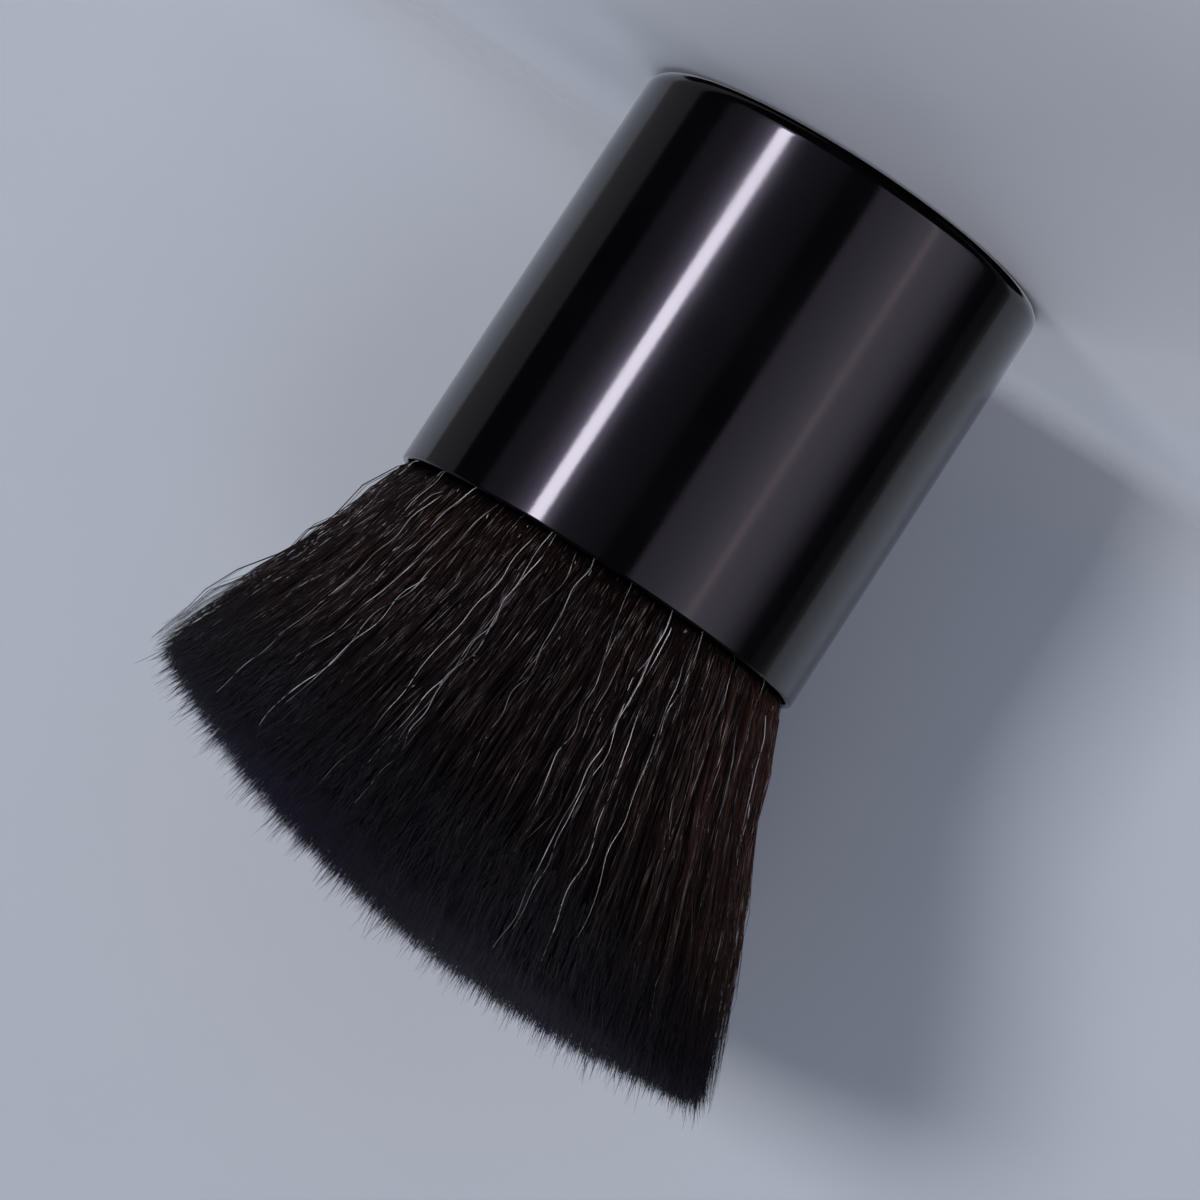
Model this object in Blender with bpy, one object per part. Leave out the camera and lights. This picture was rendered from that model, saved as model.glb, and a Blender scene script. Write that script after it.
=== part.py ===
"""A short kabuki makeup brush: a flared, slant-cut knot of soft hair in a drawn metal handle.

Metres, +Z up. The brush stands on its closed end, with the origin at the middle of that end.
+X is the side of the shorter hair. The pieces come apart upwards, in the order of this file.
"""

import math
import random

import bmesh
import bpy
from mathutils import Vector
from mathutils.geometry import delaunay_2d_cdt

# Clearance between pieces that rest on each other, and round a piece in its bore
SEAT_GAP = 0.0003
CUT_OVERRUN = 0.001
POINT_MERGE = 0.0000002

# Handle shell: a deep-drawn cup, open at the hair's end
HANDLE_DIAMETER = 0.035
HANDLE_LENGTH = 0.0355
HANDLE_WALL = 0.0005
HANDLE_BASE_CORNER = 0.0013

# Adhesive pad between the shell's floor and the insert
PAD_RADIUS = 0.013
PAD_THICKNESS = 0.0008

# Core insert: a ribbed moulding that carries the knot and fills the shell
INSERT_TOP_PLATE = 0.0018
INSERT_SKIRT_WALL = 0.0012
INSERT_BOSS_RADIUS = 0.0042
INSERT_BOSS_BORE_RADIUS = 0.0022
INSERT_RIB_THICKNESS = 0.001
INSERT_RIB_SETBACK = 0.0015
INSERT_LIP_HEIGHT = 0.001
INSERT_LIP_WIDTH = 0.0007
INSERT_TOP_CORNER = 0.0006

# Adhesive ring between the insert and the ferrule
BEAD_WIDTH = 0.0046
BEAD_THICKNESS = 0.0007

# Knot ferrule: a thin drawn ring that holds the roots, with a lip rolled in below
FERRULE_DEPTH_BELOW_RIM = 0.0018
FERRULE_LENGTH = 0.0118
FERRULE_WALL = 0.0004
FERRULE_LIP = 0.003
FERRULE_CORNER = 0.0008
FERRULE_GROOVE_DEPTH = 0.00025
FERRULE_GROOVE_HALF_HEIGHT = 0.0009
FERRULE_GROOVE_BELOW_TOP = 0.0075

# Resin plug that binds the roots
PLUG_CORNER = 0.0005

# Knot of hair: lengths above the rim, widths across the crown
SLICE_THICKNESS = 0.0012
SLICE_BELOW_FERRULE_TOP = 0.0004
SHORT_HAIR = 0.0209
LONG_HAIR = 0.0293
CROWN_DIAMETER = 0.054
CROWN_RISE = 0.0047
LOCK_RINGS = 10
LOCKS_PER_RING = 6
LOCK_ROOT_SHARE = 0.43
LOCK_BORDER = 0.00025
LENGTH_SPREAD = 0.0005
SLANT_TURN = math.radians(32)
BOW_SHARE = 0.12
LOCK_LEVEL_SHARES = (0.45, 0.92)
LOCK_WIDTH_SHARES = (0.97, 0.8)

# Crimped filaments: a sparse sleeve of wavy fibres round the knot
FILAMENT_COUNT = 42
FILAMENT_RADIUS = 0.00017
FILAMENT_SLEEVE = 0.0005
FILAMENT_WAVE = 0.00034
FILAMENT_WAVELENGTH = 0.0068
FILAMENT_LEVELS = 8
FILAMENT_REACH_SHARES = (0.62, 0.97)
FILAMENT_DRAWN_IN_SHARE = 0.02

# Facets
SHELL_STEPS = 72
INNER_STEPS = 48
BORE_STEPS = 24
ARC_POINTS = 3
GROOVE_POINTS = 4

# Places that follow from the sizes
HANDLE_RADIUS = HANDLE_DIAMETER / 2
SHELL_BORE = HANDLE_RADIUS - HANDLE_WALL
PAD_Z = HANDLE_WALL + SEAT_GAP
INSERT_Z = PAD_Z + PAD_THICKNESS + SEAT_GAP
FERRULE_TOP_Z = HANDLE_LENGTH - FERRULE_DEPTH_BELOW_RIM
FERRULE_Z = FERRULE_TOP_Z - FERRULE_LENGTH
FERRULE_RADIUS = SHELL_BORE - SEAT_GAP
FERRULE_BORE = FERRULE_RADIUS - FERRULE_WALL
BEAD_Z = FERRULE_Z - SEAT_GAP - BEAD_THICKNESS
INSERT_TOP_Z = BEAD_Z - SEAT_GAP
ROOT_Z = FERRULE_TOP_Z - SLICE_BELOW_FERRULE_TOP
SLICE_Z = ROOT_Z - SLICE_THICKNESS
PLUG_Z = FERRULE_Z + FERRULE_WALL + SEAT_GAP
PLUG_TOP_Z = SLICE_Z - SEAT_GAP
SLEEVE_RADIUS = FERRULE_BORE - SEAT_GAP
SLEEVE_INNER_RADIUS = SLEEVE_RADIUS - FILAMENT_SLEEVE
SLICE_RADIUS = SLEEVE_INNER_RADIUS - SEAT_GAP
MEAN_HAIR = (SHORT_HAIR + LONG_HAIR) / 2
MEAN_RISE = HANDLE_LENGTH + MEAN_HAIR - ROOT_Z
LOCK_PITCH = (SLICE_RADIUS - LOCK_BORDER) / (LOCK_RINGS + LOCK_ROOT_SHARE)
LOCK_ROOT_RADIUS = LOCK_PITCH * LOCK_ROOT_SHARE
LOCK_REACH = LOCK_PITCH * LOCK_RINGS
CROWN_SPREAD_SHARE = CROWN_DIAMETER / 2 / LOCK_REACH - 1


def clear_scene():
    for item in list(bpy.data.objects):
        bpy.data.objects.remove(item, do_unlink=True)


def finish(name, colour, roughness, metallic):
    """A plain material of one colour."""
    made = bpy.data.materials.new(name)
    made.use_nodes = True
    shader = made.node_tree.nodes["Principled BSDF"]
    shader.inputs["Base Color"].default_value = (*colour, 1)
    shader.inputs["Roughness"].default_value = roughness
    shader.inputs["Metallic"].default_value = metallic
    return made


def add_object(name, mesh, material):
    piece = bpy.data.objects.new(name, mesh)
    bpy.context.scene.collection.objects.link(piece)
    mesh.materials.append(material)
    return piece


def mesh_from(name, work):
    """The bmesh as a mesh with its faces turned out, shaded smooth but for its edges."""
    bmesh.ops.recalc_face_normals(work, faces=work.faces)
    mesh = bpy.data.meshes.new(name)
    work.to_mesh(mesh)
    work.free()
    mesh.shade_smooth()
    mesh.set_sharp_from_angle(angle=math.radians(35))
    return mesh


def arc(centre_r, centre_z, radius, start, end):
    """Points on a round stretch of a profile, from one angle in degrees to another."""
    points = []
    for step in range(ARC_POINTS + 1):
        angle = math.radians(start + (end - start) * step / ARC_POINTS)
        points.append((centre_r + radius * math.cos(angle), centre_z + radius * math.sin(angle)))
    return points


def turned(name, profile, steps=INNER_STEPS):
    """A solid of revolution about Z. Only the first and last points may lie on the axis."""
    work = bmesh.new()
    points = [work.verts.new((r, 0, z)) for r, z in profile]
    for first, second in zip(points, points[1:]):
        work.edges.new((first, second))
    on_axis = profile[0][0] == 0 and profile[-1][0] == 0
    if not on_axis:
        work.edges.new((points[-1], points[0]))
    bmesh.ops.spin(
        work,
        geom=list(work.verts) + list(work.edges),
        cent=(0, 0, 0),
        axis=(0, 0, 1),
        angle=math.tau,
        steps=steps,
        use_merge=True,
    )
    if on_axis:
        poles = [point for point in work.verts if point.co.xy.length == 0]
        for z in {pole.co.z for pole in poles}:
            level = [pole for pole in poles if pole.is_valid and pole.co.z == z]
            bmesh.ops.pointmerge(work, verts=level, merge_co=level[0].co)
    return mesh_from(name, work)


def boolean(piece, cutter, operation):
    change = piece.modifiers.new(f"{operation.title()} {cutter.name}", "BOOLEAN")
    change.operation = operation
    change.object = cutter
    change.solver = "EXACT"
    cutter.hide_render = True
    cutter.display_type = "WIRE"


def handle_shell():
    corner = HANDLE_BASE_CORNER
    inner = corner - HANDLE_WALL
    lip = HANDLE_WALL / 2
    lip_r = HANDLE_RADIUS - lip
    profile = [(0, HANDLE_WALL)]
    profile += arc(SHELL_BORE - inner, corner, inner, -90, 0)
    profile += arc(lip_r, HANDLE_LENGTH - lip, lip, 180, 0)
    profile += arc(HANDLE_RADIUS - corner, corner, corner, 0, -90)
    profile += [(0, 0)]
    lacquer = finish("Black gloss lacquer", (0.006, 0.006, 0.007), 0.05, 0)
    return add_object("handle_shell", turned("handle_shell", profile, SHELL_STEPS), lacquer)


def base_adhesive():
    edge = PAD_THICKNESS / 2
    profile = [(0, PAD_Z)]
    profile += arc(PAD_RADIUS - edge, PAD_Z + edge, edge, -90, 90)
    profile += [(0, PAD_Z + PAD_THICKNESS)]
    glue = finish("Hot-melt adhesive", (0.62, 0.55, 0.36), 0.4, 0)
    return add_object("base_adhesive", turned("base_adhesive", profile), glue)


def core_insert():
    outer = SHELL_BORE - SEAT_GAP
    inner = outer - INSERT_SKIRT_WALL
    plate_z = INSERT_TOP_Z - INSERT_TOP_PLATE
    lip_z = INSERT_TOP_Z + INSERT_LIP_HEIGHT
    lip_inner = outer - INSERT_LIP_WIDTH
    foot = HANDLE_BASE_CORNER - HANDLE_WALL
    corner = INSERT_TOP_CORNER
    profile = [
        (0, INSERT_Z),
        (INSERT_BOSS_RADIUS, INSERT_Z),
        (INSERT_BOSS_RADIUS, plate_z),
        (inner, plate_z),
        (inner, INSERT_Z),
        (outer - foot, INSERT_Z),
        (outer, INSERT_Z + foot),
    ]
    lip = INSERT_LIP_WIDTH / 2
    profile += arc(outer - lip, lip_z - lip, lip, 0, 180)
    profile += arc(lip_inner - corner, INSERT_TOP_Z + corner, corner, 0, -90)
    profile += [(0, INSERT_TOP_Z)]
    plastic = finish("Grey moulded plastic", (0.16, 0.16, 0.165), 0.45, 0)
    insert = add_object("core_insert", turned("core_insert", profile), plastic)

    rib_height = plate_z - INSERT_Z - INSERT_RIB_SETBACK
    rib_length = 2 * inner + INSERT_SKIRT_WALL
    for turn in range(3):
        work = bmesh.new()
        bmesh.ops.create_cube(work, size=1)
        rib_size = (rib_length, INSERT_RIB_THICKNESS, rib_height + CUT_OVERRUN)
        bmesh.ops.scale(work, verts=work.verts, vec=rib_size)
        rib = add_object(f"insert_rib_guide_{turn}", mesh_from("rib", work), plastic)
        rib.location.z = INSERT_Z + INSERT_RIB_SETBACK + (rib_height + CUT_OVERRUN) / 2
        rib.rotation_euler.z = math.pi * turn / 3
        boolean(insert, rib, "UNION")

    work = bmesh.new()
    bore_depth = INSERT_TOP_Z - INSERT_Z + 2 * CUT_OVERRUN
    bmesh.ops.create_cone(
        work,
        cap_ends=True,
        segments=BORE_STEPS,
        radius1=INSERT_BOSS_BORE_RADIUS,
        radius2=INSERT_BOSS_BORE_RADIUS,
        depth=bore_depth,
    )
    bore = add_object("insert_bore_cutter", mesh_from("bore", work), plastic)
    bore.location.z = INSERT_Z - CUT_OVERRUN + bore_depth / 2
    boolean(insert, bore, "DIFFERENCE")
    return insert


def knot_adhesive():
    edge = BEAD_THICKNESS / 2
    outer = SHELL_BORE - SEAT_GAP - INSERT_LIP_WIDTH - INSERT_TOP_CORNER - SEAT_GAP
    profile = arc(outer - BEAD_WIDTH + edge, BEAD_Z + edge, edge, 270, 90)
    profile += arc(outer - edge, BEAD_Z + edge, edge, 90, -90)
    glue = finish("Epoxy adhesive", (0.55, 0.47, 0.28), 0.25, 0)
    return add_object("knot_adhesive", turned("knot_adhesive", profile), glue)


def knot_ferrule():
    corner = FERRULE_CORNER
    inner = corner - FERRULE_WALL
    lip_r = FERRULE_RADIUS - FERRULE_LIP
    groove_z = FERRULE_TOP_Z - FERRULE_GROOVE_BELOW_TOP
    edge = FERRULE_WALL / 2

    def groove(radius):
        points = []
        for step in range(GROOVE_POINTS + 1):
            share = step / GROOVE_POINTS
            z = groove_z + FERRULE_GROOVE_HALF_HEIGHT * (2 * share - 1)
            points.append((radius - FERRULE_GROOVE_DEPTH * math.sin(math.pi * share), z))
        return points

    profile = arc(lip_r + edge, FERRULE_Z + edge, edge, 90, 270)
    profile += arc(FERRULE_RADIUS - corner, FERRULE_Z + corner, corner, -90, 0)
    profile += groove(FERRULE_RADIUS)
    profile += arc(FERRULE_RADIUS - edge, FERRULE_TOP_Z - edge, edge, 0, 180)
    profile += reversed(groove(FERRULE_BORE))
    profile += arc(FERRULE_BORE - inner, FERRULE_Z + corner, inner, 0, -90)
    metal = finish("Bare aluminium", (0.72, 0.72, 0.73), 0.3, 1)
    return add_object("knot_ferrule", turned("knot_ferrule", profile), metal)


def root_potting():
    radius = FERRULE_BORE - FERRULE_GROOVE_DEPTH - SEAT_GAP
    corner = PLUG_CORNER
    profile = [(0, PLUG_Z)]
    profile += arc(radius - corner, PLUG_Z + corner, corner, -90, 0)
    profile += arc(radius - corner, PLUG_TOP_Z - corner, corner, 0, 90)
    profile += [(0, PLUG_TOP_Z)]
    resin = finish("Potting resin", (0.32, 0.24, 0.12), 0.2, 0)
    return add_object("root_potting", turned("root_potting", profile), resin)


def spread(height):
    """How many times wider the knot is at a height above its roots. It bows in towards the tips."""
    rise = height / MEAN_RISE
    return 1 + CROWN_SPREAD_SHARE * rise * (1 + BOW_SHARE * (1 - rise))


def hair_rise(x, y):
    """The height above the roots at which hair rooted at x, y ends: a dome on a slanted cut."""
    share_x = x / LOCK_REACH
    share_y = y / LOCK_REACH
    along_slant = share_x * math.cos(SLANT_TURN) + share_y * math.sin(SLANT_TURN)
    from_middle = min(1, share_x * share_x + share_y * share_y)
    slant = (LONG_HAIR - SHORT_HAIR) / 2 * along_slant
    return MEAN_RISE - slant + CROWN_RISE * (1 - from_middle)


def ring(radius, count, turn=0):
    angles = [turn + math.tau * step / count for step in range(count)]
    return [Vector((radius * math.cos(angle), radius * math.sin(angle))) for angle in angles]


def triangle(centre, radius, turn):
    return [centre + corner for corner in ring(radius, 3, turn)]


def rooted_slice(work, outer, inner, roots, low_z, high_z):
    """A slice of resin with a three-sided hole in its top at each root. Returns the holes' points."""
    loops = [outer] + ([inner] if inner else []) + roots
    points = [point for loop in loops for point in loop]
    faces = []
    start = 0
    for loop in loops:
        faces.append(list(range(start, start + len(loop))))
        start += len(loop)
    found = delaunay_2d_cdt(points, [], faces, 1, POINT_MERGE)
    places, triangles, origins, within = found[0], found[2], found[3], found[5]
    top = [work.verts.new((*place, high_z)) for place in places]
    for face, sources in zip(triangles, within):
        if list(sources) == [0]:
            work.faces.new([top[i] for i in face])
    at = {}
    for index, sources in enumerate(origins):
        for source in sources:
            at[source] = top[index]
    bottoms = []
    start = 0
    for loop in loops[: 2 if inner else 1]:
        below = [work.verts.new((*point, low_z)) for point in loop]
        count = len(loop)
        for i in range(count):
            j = (i + 1) % count
            work.faces.new((at[start + i], at[start + j], below[j], below[i]))
        bottoms.append(below)
        start += count
    if inner:
        for i in range(len(outer)):
            j = (i + 1) % len(outer)
            work.faces.new((bottoms[0][i], bottoms[0][j], bottoms[1][j], bottoms[1][i]))
    else:
        work.faces.new(bottoms[0])
    return [[at[start + 3 * i + corner] for corner in range(3)] for i in range(len(roots))]


def raise_strand(work, root, sections, tip):
    """Walls from a root's three points through each section to the point at the tip."""
    below = root
    for section in sections:
        above = [work.verts.new(point) for point in section]
        for i in range(3):
            j = (i + 1) % 3
            work.faces.new((below[i], below[j], above[j], above[i]))
        below = above
    end = work.verts.new(tip)
    for i in range(3):
        work.faces.new((below[i], below[(i + 1) % 3], end))


def lock_places():
    """Even places on a disc: one in the middle, then rings a pitch apart, each turned on from the last."""
    turn = math.pi * (3 - math.sqrt(5))
    places = [Vector((0, 0))]
    for number in range(1, LOCK_RINGS + 1):
        places += ring(number * LOCK_PITCH, number * LOCKS_PER_RING, number * turn)
    return places


def bristle_knot():
    chance = random.Random(11)
    work = bmesh.new()
    centres = lock_places()
    roots = [triangle(centre, LOCK_ROOT_RADIUS, chance.uniform(0, math.tau)) for centre in centres]
    outer = ring(SLICE_RADIUS, INNER_STEPS)
    holes = rooted_slice(work, outer, [], roots, SLICE_Z, ROOT_Z)
    for centre, root, hole in zip(centres, roots, holes):
        rise = hair_rise(*centre) + chance.uniform(-LENGTH_SPREAD, LENGTH_SPREAD)
        sections = []
        for level, width in zip(LOCK_LEVEL_SHARES, LOCK_WIDTH_SHARES):
            height = rise * level
            section = [(centre + (corner - centre) * width) * spread(height) for corner in root]
            sections.append([(*point, ROOT_Z + height) for point in section])
        raise_strand(work, hole, sections, (*(centre * spread(rise)), ROOT_Z + rise))
    hair = finish("Dark brown hair", (0.018, 0.012, 0.012), 0.5, 0)
    return add_object("bristle_knot", mesh_from("bristle_knot", work), hair)


def crimped_filaments():
    chance = random.Random(23)
    work = bmesh.new()
    middle = (SLEEVE_RADIUS + SLEEVE_INNER_RADIUS) / 2
    centres = ring(middle, FILAMENT_COUNT, math.pi / FILAMENT_COUNT)
    roots = [triangle(centre, FILAMENT_RADIUS, math.atan2(centre.y, centre.x)) for centre in centres]
    outer = ring(SLEEVE_RADIUS, INNER_STEPS)
    inner = ring(SLEEVE_INNER_RADIUS, INNER_STEPS)
    holes = rooted_slice(work, outer, inner, roots, SLICE_Z, ROOT_Z)
    for centre, root, hole in zip(centres, roots, holes):
        rise = hair_rise(*centre) * chance.uniform(*FILAMENT_REACH_SHARES)
        side = Vector((-centre.y, centre.x)).normalized()
        start = chance.uniform(0, math.tau)
        sections = []
        for level in range(1, FILAMENT_LEVELS):
            height = rise * level / FILAMENT_LEVELS
            phase = start + math.tau * height / FILAMENT_WAVELENGTH
            sway = side * FILAMENT_WAVE * (math.sin(phase) - math.sin(start))
            place = centre * (1 - FILAMENT_DRAWN_IN_SHARE) * spread(height) + sway
            section = [place + corner - centre for corner in root]
            sections.append([(*point, ROOT_Z + height) for point in section])
        tip = centre * (1 - FILAMENT_DRAWN_IN_SHARE) * spread(rise)
        raise_strand(work, hole, sections, (*tip, ROOT_Z + rise))
    silver = finish("Silvery filament", (0.75, 0.73, 0.72), 0.25, 0)
    return add_object("crimped_filaments", mesh_from("crimped_filaments", work), silver)


clear_scene()
handle_shell()
base_adhesive()
core_insert()
knot_adhesive()
knot_ferrule()
root_potting()
bristle_knot()
crimped_filaments()
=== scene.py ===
"""A short kabuki makeup brush: a gloss black drawn handle and a flared, slant-cut knot of soft dark hair."""

import math

import bmesh
import bpy
import numpy as np
from mathutils import Matrix, Vector, kdtree


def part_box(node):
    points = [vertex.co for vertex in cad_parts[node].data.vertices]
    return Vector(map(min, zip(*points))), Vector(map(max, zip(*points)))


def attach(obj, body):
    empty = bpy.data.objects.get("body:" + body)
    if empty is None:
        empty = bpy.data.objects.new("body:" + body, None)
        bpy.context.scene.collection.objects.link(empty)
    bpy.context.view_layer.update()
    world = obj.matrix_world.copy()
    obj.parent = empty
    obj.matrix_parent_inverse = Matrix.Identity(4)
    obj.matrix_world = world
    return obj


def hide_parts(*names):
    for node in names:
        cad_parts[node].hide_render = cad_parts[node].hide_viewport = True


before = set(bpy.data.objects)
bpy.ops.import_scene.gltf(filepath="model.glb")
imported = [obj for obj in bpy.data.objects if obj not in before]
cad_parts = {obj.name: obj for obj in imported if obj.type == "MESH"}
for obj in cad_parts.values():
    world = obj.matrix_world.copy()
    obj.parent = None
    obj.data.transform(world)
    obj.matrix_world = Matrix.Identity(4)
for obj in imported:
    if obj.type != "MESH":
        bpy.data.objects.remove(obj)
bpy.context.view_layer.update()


# Handle shell.
# A deep-drawn aluminium cup, half a millimetre thick, sprayed with black lacquer and baked to a mirror gloss.
# It is the outermost piece, and everything else is glued inside it. Its open edge is rolled smooth.
low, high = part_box("handle_shell")
HANDLE_RADIUS = (high.x - low.x) / 2
HANDLE_LENGTH = high.z
HANDLE_WALL = 0.0005
HANDLE_BORE = HANDLE_RADIUS - HANDLE_WALL
BASE_CORNER = 0.0013
EDGE_HOLD = 0.0002
SHELL_STEPS = 192
MERGE_WITHIN = 0.000001
HANDLING_HAZE_SIZE = 0.009
SPRAY_RIPPLE_SIZE = 0.0003
SPRAY_RIPPLE_HEIGHT = 0.00001


def linear(code):
    """An sRGB hex colour as linear red, green, blue and alpha."""
    shares = [int(code[place : place + 2], 16) / 255 for place in (1, 3, 5)]
    return (*[s / 12.92 if s <= 0.04045 else ((s + 0.055) / 1.055) ** 2.4 for s in shares], 1)


def add(tree, kind, settings=None, links=None):
    """Adds a node to a tree, with its settings and input values, and links from other nodes' outputs."""
    node = tree.nodes.new(kind)
    for name, value in (settings or {}).items():
        if name in node.inputs:
            node.inputs[name].default_value = value
        else:
            setattr(node, name, value)
    for name, output in (links or {}).items():
        tree.links.new(output, node.inputs[name])
    return node


def new_finish(name, values):
    """A material named for a real finish, with its tree and its shader, whose own sockets hold the values."""
    made = bpy.data.materials.new(name)
    made.use_nodes = True
    shader = made.node_tree.nodes["Principled BSDF"]
    for socket, value in values.items():
        shader.inputs[socket].default_value = value
    return made, made.node_tree, shader


def tint_between(tree, shader, drift, tints):
    """Lets a shader's colour drift between two tints by a share from another node."""
    mixed = add(tree, "ShaderNodeMix", {"data_type": "RGBA"}, {"Factor": drift})
    mixed.inputs["A"].default_value = linear(tints[0])
    mixed.inputs["B"].default_value = linear(tints[1])
    tree.links.new(mixed.outputs["Result"], shader.inputs["Base Color"])


def dull_between(tree, shader, drift, ends):
    """Lets a shader's roughness drift between two ends by a share from another node."""
    dulled = add(tree, "ShaderNodeMapRange", ends, {"Value": drift})
    tree.links.new(dulled.outputs["Result"], shader.inputs["Roughness"])


def mottled_finish(name, values, pattern, tints, ends=None):
    """A finish whose tint, and roughness if it has two ends, drift by a noise pattern. It comes with its
    tree, its shader and the place on the piece, for what else the finish has."""
    made, tree, shader = new_finish(name, values)
    spot = add(tree, "ShaderNodeTexCoord").outputs["Object"]
    drift = add(tree, "ShaderNodeTexNoise", pattern, {"Vector": spot}).outputs["Fac"]
    tint_between(tree, shader, drift, tints)
    if ends:
        dull_between(tree, shader, drift, ends)
    return made, tree, shader, spot


def bend(centre_r, centre_z, radius, start, end, points=8):
    """Points on a round stretch of a turned profile, from one angle in degrees to another."""
    turns = [math.radians(start + (end - start) * step / points) for step in range(points + 1)]
    return [(centre_r + radius * math.cos(turn), centre_z + radius * math.sin(turn)) for turn in turns]


def finished(work, name):
    """A bmesh made into a mesh, and freed."""
    mesh = bpy.data.meshes.new(name)
    work.to_mesh(mesh)
    work.free()
    return mesh


def as_piece(name, mesh, finish, slot, *nodes):
    """A finished mesh as a piece of the brush that stands for CAD nodes, with the finish given. Its slot is
    not used.
    """
    mesh.name = name
    mesh.materials.clear()
    mesh.materials.append(finish)
    piece = bpy.data.objects.new(name, mesh)
    bpy.context.scene.collection.objects.link(piece)
    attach(piece, "root")
    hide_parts(*nodes)
    return piece


inner_corner = BASE_CORNER - HANDLE_WALL
lip = HANDLE_WALL / 2
profile = [(0, HANDLE_WALL), (HANDLE_BORE / 2, HANDLE_WALL)]
profile += bend(HANDLE_BORE - inner_corner, BASE_CORNER, inner_corner, -90, 0)
profile += [(HANDLE_BORE, HANDLE_LENGTH / 2)]
profile += bend(HANDLE_RADIUS - lip, HANDLE_LENGTH - lip, lip, 180, 0)
profile += [(HANDLE_RADIUS, HANDLE_LENGTH - lip - EDGE_HOLD)]
profile += [(HANDLE_RADIUS, HANDLE_LENGTH * share) for share in (0.8, 0.6, 0.4, 0.2)]
profile += [(HANDLE_RADIUS, BASE_CORNER + EDGE_HOLD)]
profile += bend(HANDLE_RADIUS - BASE_CORNER, BASE_CORNER, BASE_CORNER, 0, -90)
profile += [(HANDLE_RADIUS - BASE_CORNER - EDGE_HOLD, 0), (HANDLE_RADIUS / 2, 0), (0, 0)]
work = bmesh.new()
points = [work.verts.new((r, 0, z)) for r, z in profile]
for first, second in zip(points, points[1:]):
    work.edges.new((first, second))
bmesh.ops.spin(
    work, geom=work.verts[:] + work.edges[:], cent=(0, 0, 0), axis=(0, 0, 1),
    angle=math.tau, steps=SHELL_STEPS, use_merge=True,
)
bmesh.ops.remove_doubles(work, verts=work.verts, dist=MERGE_WITHIN)
bmesh.ops.recalc_face_normals(work, faces=work.faces)
mesh = finished(work, "handle")
mesh.shade_smooth()

# Baked black lacquer over drawn aluminium: sprayed, so it is a near mirror with the faintest ripple, and a
# little haze where fingers hold it. It reads as black with sharp, slightly soft-edged reflections.
lacquer, tree, shader, spot = mottled_finish(
    "Baked black gloss lacquer", {"IOR": 1.5}, {"Scale": 1 / HANDLING_HAZE_SIZE, "Detail": 4.0},
    ("#030304", "#08080b"), {"From Min": 0.3, "From Max": 0.7, "To Min": 0.085, "To Max": 0.135},
)
ripple = add(tree, "ShaderNodeTexNoise", {"Scale": 1 / SPRAY_RIPPLE_SIZE, "Detail": 2.0}, {"Vector": spot})
bump = add(
    tree, "ShaderNodeBump", {"Strength": 0.1, "Distance": SPRAY_RIPPLE_HEIGHT},
    {"Height": ripple.outputs["Fac"]},
)
tree.links.new(bump.outputs["Normal"], shader.inputs["Normal"])
as_piece("handle", mesh, lacquer, "black_lacquer", "handle_shell")


# Pad of hot-melt adhesive.
# A coin of amber glue pressed between the cup's floor and the insert. It sets waxy, and clouded where small
# bubbles are trapped in it.
BUBBLE_CLOUD_SIZE = 1 / 900


def refinish(node, finish):
    """Gives a carried-over CAD node its finish."""
    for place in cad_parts[node].material_slots:
        place.material = finish


glue, *_ = mottled_finish(
    "Amber hot-melt adhesive", {"IOR": 1.48}, {"Scale": 1 / BUBBLE_CLOUD_SIZE, "Detail": 5.0},
    ("#a8874a", "#cdb27a"), {"To Min": 0.28, "To Max": 0.5},
)
refinish("base_adhesive", glue)


# Core insert.
# A ribbed spacer of recycled grey polypropylene, injection moulded, that fills the thin cup and sets the
# knot at the right depth. It is pressed in over the glue. Moulding leaves a fine spark-eroded grain.
FLOW_MARK_SIZE = 0.00625
SPARK_GRAIN_SIZE = 0.0002
SPARK_GRAIN_HEIGHT = 0.00005
moulded, tree, shader, spot = mottled_finish(
    "Grey moulded polypropylene", {"IOR": 1.49}, {"Scale": 1 / FLOW_MARK_SIZE, "Detail": 3.0},
    ("#6a6a6c", "#777779"),
)
grain = add(tree, "ShaderNodeTexNoise", {"Scale": 1 / SPARK_GRAIN_SIZE, "Detail": 2.0}, {"Vector": spot})
dull_between(tree, shader, grain.outputs["Fac"], {"To Min": 0.42, "To Max": 0.6})
bump = add(
    tree, "ShaderNodeBump", {"Strength": 0.2, "Distance": SPARK_GRAIN_HEIGHT},
    {"Height": grain.outputs["Fac"]},
)
tree.links.new(bump.outputs["Normal"], shader.inputs["Normal"])
refinish("core_insert", moulded)


# Bead of epoxy.
# A ring of two-part epoxy on which the ferrule is set while it is wet. It cures hard and glossy, the
# colour of weak tea, and a little uneven where it was laid by hand.
STIRRED_SWIRL_SIZE = 1 / 450
epoxy, *_ = mottled_finish(
    "Cured epoxy bead", {"IOR": 1.55}, {"Scale": 1 / STIRRED_SWIRL_SIZE, "Detail": 4.0, "Distortion": 1.2},
    ("#8e7a52", "#b39f74"), {"To Min": 0.12, "To Max": 0.3},
)
refinish("knot_adhesive", epoxy)


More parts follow.
